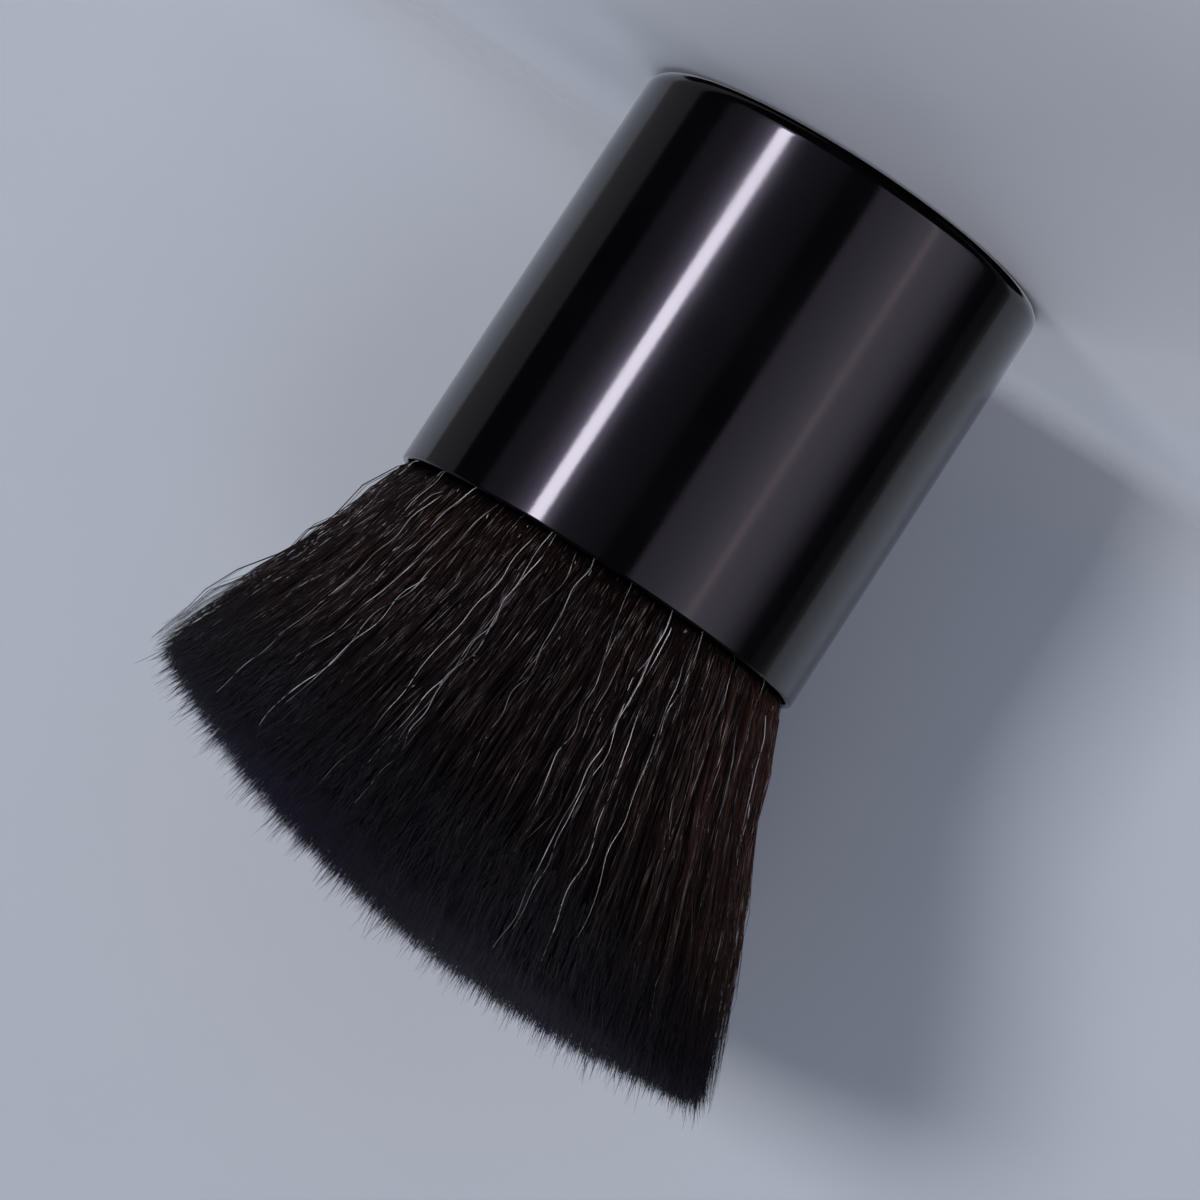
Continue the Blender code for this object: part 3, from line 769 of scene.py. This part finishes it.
# Clear nylon-type fibre, extruded and crimped. Clear and smooth, it catches light as a broken silver line.
# Painted glints: its colour runs from dark grey to near white in broken stretches, over a shade for each
# fibre.
BREAKS_ALONG = 9.0
BREAKS_ACROSS = 240.0
FILAMENT_SHADES = 230.0
silver, tree, shader = new_finish("Crimped silvery filament", {"IOR": 1.53, "Specular IOR Level": 0.8})
strand = add(tree, "ShaderNodeUVMap", {"uv_map": "OFBake"})
laid = add(
    tree, "ShaderNodeMapping", {"Scale": (BREAKS_ALONG, BREAKS_ACROSS, 1.0)}, {"Vector": strand.outputs["UV"]}
)
broken = add(tree, "ShaderNodeTexNoise", {"Scale": 1.0, "Detail": 2.0}, {"Vector": laid.outputs["Vector"]})
along = add(
    tree, "ShaderNodeMapRange", {"From Min": 0.32, "From Max": 0.68, "To Max": 0.85},
    {"Value": broken.outputs["Fac"]},
)
alike = add(
    tree, "ShaderNodeMapping", {"Scale": (0.0, FILAMENT_SHADES, 0.0)}, {"Vector": strand.outputs["UV"]}
)
whole = add(tree, "ShaderNodeTexNoise", {"Scale": 1.0, "Detail": 0.0}, {"Vector": alike.outputs["Vector"]})
each = add(
    tree, "ShaderNodeMapRange", {"From Min": 0.3, "From Max": 0.7, "To Min": -0.6, "To Max": 0.4},
    {"Value": whole.outputs["Fac"]},
)
# Painted glints in broken stretches, added to each fibre's own shade.
painted_glints_and_shade = add(
    tree, "ShaderNodeMath", {"operation": "ADD"}, {0: each.outputs["Result"], 1: along.outputs["Result"]}
)
tint_between(tree, shader, painted_glints_and_shade.outputs["Value"], ("#2e2d32", "#dcdae0"))
dull_between(tree, shader, broken.outputs["Fac"], {"To Min": 0.2, "To Max": 0.4})
as_piece("silver_filaments", mesh, silver, "silver_filament", "crimped_filaments")

# Short broken ends of the same fibre that glint among the roots of the outer hair.
GLINTS = 90
GLINTS_FROM = 0.0026
GLINTS_OVER = 0.017
GLINT_LENGTH = (0.0001, 0.0006)
GLINT_SLANT = 0.0001
GLINT_PROUD = 0.00014
chance = np.random.default_rng(77)
turn = chance.uniform(0, math.tau, GLINTS)
share = chance.uniform(0.99, 1.0, GLINTS)
run = np.linspace(0, 1, 3)
lowest = GLINTS_FROM + GLINTS_OVER * chance.uniform(0, 1, GLINTS) ** 1.6
heights = lowest[:, None] + chance.uniform(*GLINT_LENGTH, GLINTS)[:, None] * run
outward = np.full((GLINTS, 3), GLINT_PROUD)
aside = chance.normal(0, GLINT_SLANT, GLINTS)[:, None] * run
thickness = chance.uniform(0.8, 1.3, GLINTS)[:, None] * np.array([0.5, 1.0, 0.5])
places = laid_along(share, turn, heights, aside, outward)
mesh = hairs_to_mesh("silver_ends", places, thickness, four_sided=True)
as_piece("silver_ends", mesh, silver, "silver_filament", "crimped_filaments")


# Camera.
# It looks across the standing brush from just above the crown's height, and is turned nearly upside down, so
# that the brush lies as in the photograph with its hair towards the lower left.
TARGET = Vector((-0.000965, 0, 0.0363))
DISTANCE = 0.4
ELEVATION = math.radians(4.9)
ROLL = math.radians(-147.0)
LENS = 158.2
SENSOR = 36
forward = Vector((0, math.cos(ELEVATION), -math.sin(ELEVATION)))
across = Vector((1, 0, 0))
upward = across.cross(forward)
right = math.cos(ROLL) * across + math.sin(ROLL) * upward
top = -math.sin(ROLL) * across + math.cos(ROLL) * upward
place = TARGET - forward * DISTANCE
camera = bpy.data.objects.new("camera", bpy.data.cameras.new("camera"))
camera.data.lens = LENS
camera.data.sensor_width = SENSOR
camera.matrix_world = Matrix((
    (right.x, top.x, -forward.x, place.x),
    (right.y, top.y, -forward.y, place.y),
    (right.z, top.z, -forward.z, place.z),
    (0, 0, 0, 1),
))
bpy.context.scene.collection.objects.link(camera)
bpy.context.scene.camera = camera


# Studio.
# A pale paper sweep: floor, small cove and back. The lacquer mirrors a soft strip lamp, a glowing scrim,
# flags, cards that glow in place of being lit and the back of the sweep, and the lamps that light the hair
# and the paper are kept out of its gloss.
SWEEP_Y = 0.0315
SWEEP_HEIGHT = 1.2
COVE = 0.011
STAGE_REACH = 3.0
PULP_SIZE = 1 / 60
MATT = {"Roughness": 1.0, "Specular IOR Level": 0.0}
paper, *_ = mottled_finish(
    "Pale matt paper", MATT, {"Scale": 1 / PULP_SIZE, "Detail": 3.0}, ("#b0b8c4", "#b4bcc7")
)

# Far from the brush the paper thins out into the even tone behind it. The back and cove can't be seen from
# behind either, and the cove thins out where it meets the floor.
FLOOR_FADES = (0.3, 0.75)
BACK_FADES = (0.075, 0.15)
COVE_STARTS = (0.0006, 0.0028)
one_sided = paper.copy()
one_sided.name = "Pale matt paper, clear from behind"
for finish, fade in ((paper, FLOOR_FADES), (one_sided, BACK_FADES)):
    tree = finish.node_tree
    spot = add(tree, "ShaderNodeTexCoord").outputs["Object"]
    length = add(tree, "ShaderNodeVectorMath", {"operation": "LENGTH"}, {"Vector": spot})
    gone = add(
        tree, "ShaderNodeMapRange", {"From Min": fade[0], "From Max": fade[1]},
        {"Value": length.outputs["Value"]},
    ).outputs["Result"]
    if finish is one_sided:
        parts = add(tree, "ShaderNodeSeparateXYZ", {}, {"Vector": spot})
        thinning = add(
            tree, "ShaderNodeMapRange",
            {"From Min": COVE_STARTS[0], "From Max": COVE_STARTS[1], "To Min": 1.0, "To Max": 0.0},
            {"Value": parts.outputs["Z"]},
        ).outputs["Result"]
        behind = add(tree, "ShaderNodeNewGeometry").outputs["Backfacing"]
        for cause in (thinning, behind):
            gone = add(tree, "ShaderNodeMath", {"operation": "MAXIMUM"}, {0: gone, 1: cause}).outputs["Value"]
    clear = add(tree, "ShaderNodeBsdfTransparent").outputs["BSDF"]
    seen = tree.nodes["Principled BSDF"].outputs["BSDF"]
    either = add(tree, "ShaderNodeMixShader", {}, {0: gone, 1: seen, 2: clear})
    tree.links.new(either.outputs["Shader"], tree.nodes["Material Output"].inputs["Surface"])


def stage_sheet(name, profile, width, finish):
    """A sheet of stage drawn out along X from a profile in the YZ plane, facing the brush."""
    work = bmesh.new()
    points = [work.verts.new((-width, y, z)) for y, z in profile]
    lines = [work.edges.new(pair) for pair in zip(points, points[1:])]
    made = bmesh.ops.extrude_edge_only(work, edges=lines)["geom"]
    moved = [item for item in made if isinstance(item, bmesh.types.BMVert)]
    bmesh.ops.translate(work, verts=moved, vec=(2 * width, 0, 0))
    work.normal_update()
    if sum((face.normal for face in work.faces), Vector()).dot(Vector((0, -1, 1))) < 0:
        bmesh.ops.reverse_faces(work, faces=work.faces)
    mesh = finished(work, name)
    mesh.shade_smooth()
    mesh.materials.append(finish)
    sheet = bpy.data.objects.new(name, mesh)
    bpy.context.scene.collection.objects.link(sheet)
    sheet.visible_shadow = False
    return sheet


floor = stage_sheet("floor", [(-STAGE_REACH, 0), (STAGE_REACH, 0)], STAGE_REACH, paper)
floor.visible_glossy = False
turns = [math.radians(degrees) for degrees in range(18, 91, 9)]
cove = [(SWEEP_Y - COVE * (1 - math.sin(a)), COVE * (1 - math.cos(a))) for a in turns]
stage_sheet("sweep", cove + [(SWEEP_Y, SWEEP_HEIGHT)], STAGE_REACH, one_sided)

LAMPS_FACE = Vector((0, 0, 0.03))


def lamp(name, around, above, width, height, radiance, colour, distance):
    """A soft rectangular lamp that faces the brush, at degrees round from the camera and above the floor."""
    light = bpy.data.lights.new(name, "AREA")
    light.shape = "RECTANGLE"
    light.size, light.size_y = width, height
    light.energy = radiance * width * height * math.pi
    light.color = linear(colour)[:3]
    thing = bpy.data.objects.new(name, light)
    turn = math.radians(around)
    way = Vector((math.sin(turn), -math.cos(turn), math.sin(math.radians(above)))).normalized()
    thing.location = LAMPS_FACE + way * distance
    thing.rotation_euler = (-way).to_track_quat("-Z", "Y").to_euler()
    bpy.context.scene.collection.objects.link(thing)
    thing.visible_camera = False
    return thing


lamp("strip_lamp", 42.8, -6, 0.076, 0.36, 19.0, "#f5eeff", 0.6).visible_diffuse = False
lamp("key_lamp", 31, 10, 0.43, 0.43, 28.0, "#fffaf6", 1.6).visible_glossy = False
lamp("back_lamp", 180, 35, 1.0, 0.6, 5.0, "#ffffff", 1.2).visible_glossy = False
lamp("fill_lamp", -93, 8, 0.7, 0.7, 5.0, "#ffe6dd", 1.2).visible_glossy = False
lamp("over_lamp", -20, 65, 0.6, 0.6, 1.7, "#fbf8ff", 1.2).visible_glossy = False


def for_reflections(name, mesh, finish):
    """A sheet of stage that only the gloss of the brush sees."""
    mesh.materials.append(finish)
    sheet = bpy.data.objects.new(name, mesh)
    bpy.context.scene.collection.objects.link(sheet)
    sheet.visible_camera = False
    sheet.visible_diffuse = False
    sheet.visible_shadow = False
    sheet.visible_transmission = False


def glowing_finish(name, strength, tint="#ffffff"):
    """A finish that gives off light in place of its shader. It comes with its tree and its light."""
    made, tree, shader = new_finish(name, {})
    shine = add(tree, "ShaderNodeEmission", {"Strength": strength, "Color": linear(tint)})
    tree.links.new(shine.outputs["Emission"], tree.nodes["Material Output"].inputs["Surface"])
    tree.nodes.remove(shader)
    return made, tree, shine


# The scrim's glow, by degrees round from the camera: a narrow violet one round the strip lamp, a broad one on
# the other side with a warm line in it, and dark between and beyond.
SCRIM_RADIUS = 0.75
SCRIM_HEIGHT = 0.8
SCRIM_PEAK = 3.0
COOL, WARM, VIOLET = "#ebe1ff", "#ffe9f2", "#ded3f8"
GLOW = [
    (-98, 0.01, COOL), (-84, 0.02, COOL), (-80, 0.2, COOL), (-74, 0.49, COOL), (-68, 0.79, COOL),
    (-60, 1.02, COOL), (-54, 1.12, COOL), (-50, 1.3, COOL), (-47, 1.9, WARM), (-44, 1.32, COOL),
    (-42, 1.24, COOL), (-37, 1.0, COOL), (-32, 0.82, COOL), (-23, 0.64, COOL), (-14, 0.53, COOL),
    (-12, 0.44, COOL), (-11, 0.01, COOL), (3, 0.01, COOL), (7, 0.08, COOL), (15, 0.12, COOL),
    (21, 0.17, VIOLET), (25, 0.2, VIOLET), (29, 0.26, VIOLET), (33, 0.5, VIOLET), (36, 1.5, VIOLET),
    (48.5, 2.0, VIOLET), (53, 0.95, VIOLET), (59, 0.4, COOL), (64, 0.22, COOL), (76, 0.14, COOL),
    (79.5, 0.02, COOL), (98, 0.01, COOL),
]
glowing, tree, shine = glowing_finish("Glowing scrim", SCRIM_PEAK)
spot = add(tree, "ShaderNodeTexCoord").outputs["Object"]
turned = add(tree, "ShaderNodeTexGradient", {"gradient_type": "RADIAL"}, {"Vector": spot}).outputs["Fac"]
first, last = GLOW[0][0], GLOW[-1][0]
round_share = add(
    tree, "ShaderNodeMapRange", {"From Min": 0.25 + first / 360, "From Max": 0.25 + last / 360},
    {"Value": turned},
)
bands = add(tree, "ShaderNodeValToRGB", {}, {"Fac": round_share.outputs["Result"]})
set_stops(bands, [
    ((degrees - first) / (last - first), (*[radiance / SCRIM_PEAK * part for part in linear(tint)[:3]], 1))
    for degrees, radiance, tint in GLOW
])
tree.links.new(bands.outputs["Color"], shine.inputs["Color"])
work = bmesh.new()
post = [work.verts.new((0, -SCRIM_RADIUS, z)) for z in (-SCRIM_HEIGHT / 2, SCRIM_HEIGHT / 2)]
edge = work.edges.new(post)
bmesh.ops.rotate(work, verts=work.verts, cent=(0, 0, 0), matrix=Matrix.Rotation(math.radians(first), 3, "Z"))
bmesh.ops.spin(
    work, geom=post + [edge], cent=(0, 0, 0), axis=(0, 0, 1), angle=math.radians(last - first), steps=98
)
for_reflections("scrim", finished(work, "scrim"), glowing)

# Black flags above and below the set, and black flags and grey cards on both sides of the brush, which glow
# faintly in place of lying in low light.
CARD_HALF_HEIGHT = 0.3
for name, height in (("flag_above", SCRIM_HEIGHT / 2), ("flag_below", -SCRIM_HEIGHT / 2)):
    work = bmesh.new()
    lid = bmesh.ops.create_circle(work, cap_ends=True, segments=48, radius=SCRIM_RADIUS)["verts"]
    bmesh.ops.translate(work, verts=lid, vec=(0, 0, height))
    velvet, *_ = new_finish("Black velvet", {"Base Color": linear("#000000"), **MATT})
    for_reflections(name, finished(work, name), velvet)
for name, x, near, far, strength, tint in (
    ("flag_short_side", 0.06, -0.022, -0.0027, 0.0, COOL),
    ("card_short_side", 0.06, -0.0027, 0.027, 0.18, "#f6eefb"),
    ("flag_long_side", -0.12, -0.013, -0.0005, 0.005, COOL),
    ("half_card_long_side", -0.12, -0.0005, 0.021, 0.055, COOL),
    ("card_long_side", -0.12, 0.021, 0.0305, 0.13, "#fbf0f8"),
):
    work = bmesh.new()
    low_edge = [work.verts.new((x, y, -CARD_HALF_HEIGHT)) for y in (near, far)]
    high_edge = [work.verts.new((x, y, CARD_HALF_HEIGHT)) for y in (far, near)]
    work.faces.new(low_edge + high_edge)
    card, *_ = glowing_finish("Faintly glowing card", strength, tint)
    for_reflections(name, finished(work, name), card)

# Dim even light from all round, which the camera and reflections see as an even tone like the paper's.
world = bpy.data.worlds.new("studio")
world.use_nodes = True
tree = world.node_tree
light = tree.nodes["Background"]
light.inputs["Color"].default_value = linear("#c9ccd6")
light.inputs["Strength"].default_value = 0.4
tone = add(tree, "ShaderNodeBackground", {"Color": linear("#a3a9b6"), "Strength": 1.0})
ray = add(tree, "ShaderNodeLightPath")
seen = ray.outputs["Is Camera Ray"]
for way in ("Is Glossy Ray", "Is Transmission Ray"):
    more = add(tree, "ShaderNodeMath", {"operation": "MAXIMUM"}, {0: seen, 1: ray.outputs[way]})
    seen = more.outputs["Value"]
both = add(
    tree, "ShaderNodeMixShader", {}, {0: seen, 1: light.outputs["Background"], 2: tone.outputs["Background"]}
)
tree.links.new(both.outputs["Shader"], tree.nodes["World Output"].inputs["Surface"])
bpy.context.scene.world = world
bpy.context.scene.view_settings.view_transform = "Standard"
